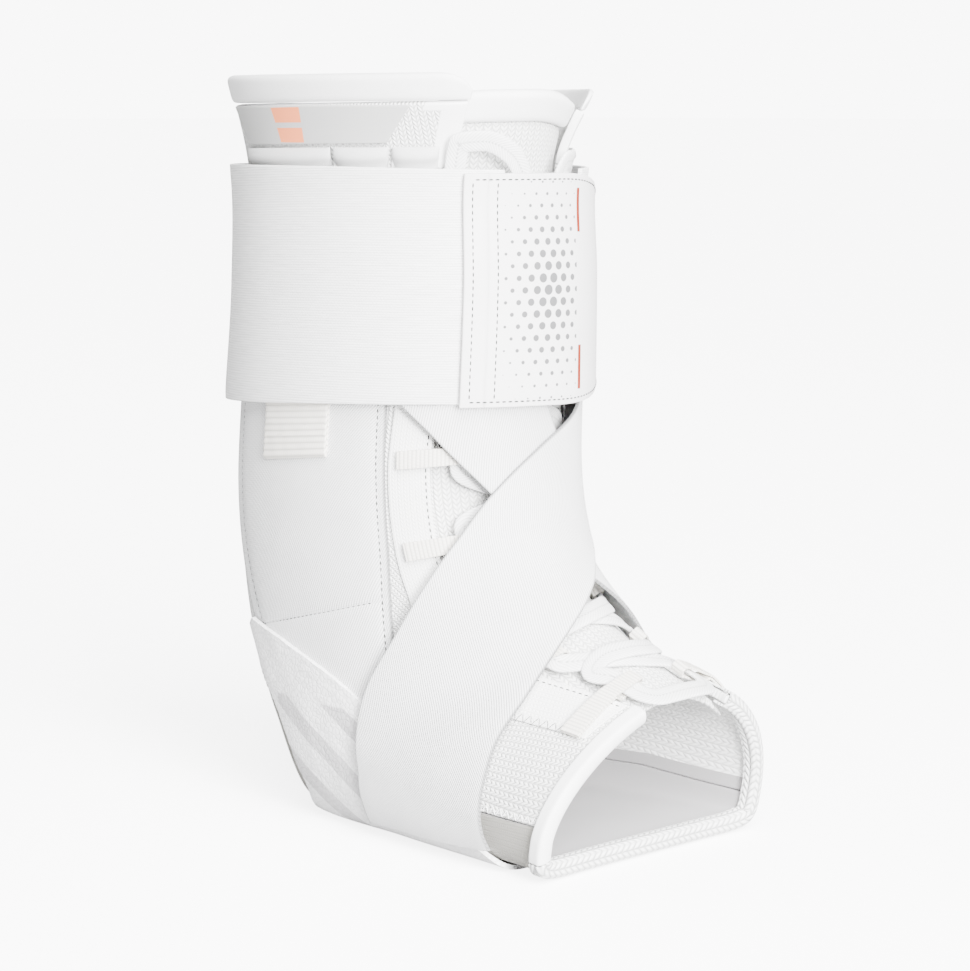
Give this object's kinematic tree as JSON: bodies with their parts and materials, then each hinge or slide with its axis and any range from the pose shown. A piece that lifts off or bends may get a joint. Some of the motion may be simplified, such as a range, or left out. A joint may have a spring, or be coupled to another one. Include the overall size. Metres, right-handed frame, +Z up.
{
  "type": "lace-up ankle brace",
  "caption": "Soft boot-shaped ankle support, open at the toes, laced up the front, with crossed stabilising straps, a heel sling, side stay panels and a wide closing strap.",
  "frame": {"origin": "on the flat underside of the heel sling, below the axis of the leg opening", "axes": "+Z up along the leg, -Y towards the toes, -X towards the side seen in the picture (the outer side of a right foot)"},
  "size_m": [0.1128, 0.1964, 0.2588],
  "materials": {
    "white_knit": "matte cable-knit mesh",
    "grey_knit": "matte grey knit",
    "soft_lining": "smooth brushed lining",
    "grey_foam": "grey foam-backed fabric with two pale orange bars",
    "white_padding": "soft padded fabric",
    "white_twill": "matte fine twill",
    "white_synthetic_leather": "wrinkled white synthetic leather with pale grey bars",
    "printed_tab": "smooth laminate printed with graded grey dots and orange corner strokes",
    "elastic_strap": "fine cross-ribbed elastic",
    "webbing": "ribbed woven webbing",
    "lace_cord": "flat woven lace"
  },
  "bodies": {
    "root": {"knit_sides": "white_knit", "sole_piece": "grey_knit", "collar": "soft_lining", "tongue": "white_knit", "tongue_binding": "soft_lining", "collar_patch_near": "grey_foam", "collar_patch_far": "grey_foam", "padded_finger_near_1": "white_padding", "padded_finger_near_2": "white_padding", "padded_finger_near_3": "white_padding", "padded_finger_far_1": "white_padding", "padded_finger_far_2": "white_padding", "padded_finger_far_3": "white_padding", "stay_panel_near": "white_twill", "stay_panel_far": "white_twill", "pull_loop_near": "webbing", "pull_loop_far": "webbing", "eyelet_facing_near": "white_knit", "eyelet_facing_far": "white_knit", "heel_wrap": "white_synthetic_leather", "cross_strap_near": "white_twill", "cross_strap_far": "white_twill", "top_strap": "elastic_strap", "closure_tab": "printed_tab", "toe_binding_near": "soft_lining", "toe_binding_sole": "white_knit", "lace_loop_near_1": "webbing", "lace_loop_near_2": "webbing", "lace_loop_near_3": "webbing", "lace_loop_near_4": "webbing", "lace_loop_near_5": "webbing", "lace_loop_near_6": "webbing", "lace_loop_near_7": "webbing", "lace_loop_far_1": "webbing", "lace_loop_far_2": "webbing", "lace_loop_far_3": "webbing", "lace_loop_far_4": "webbing", "lace_loop_far_5": "webbing", "lace_loop_far_6": "webbing", "lace_loop_far_7": "webbing", "lace": "lace_cord"}
  },
  "joints": []
}
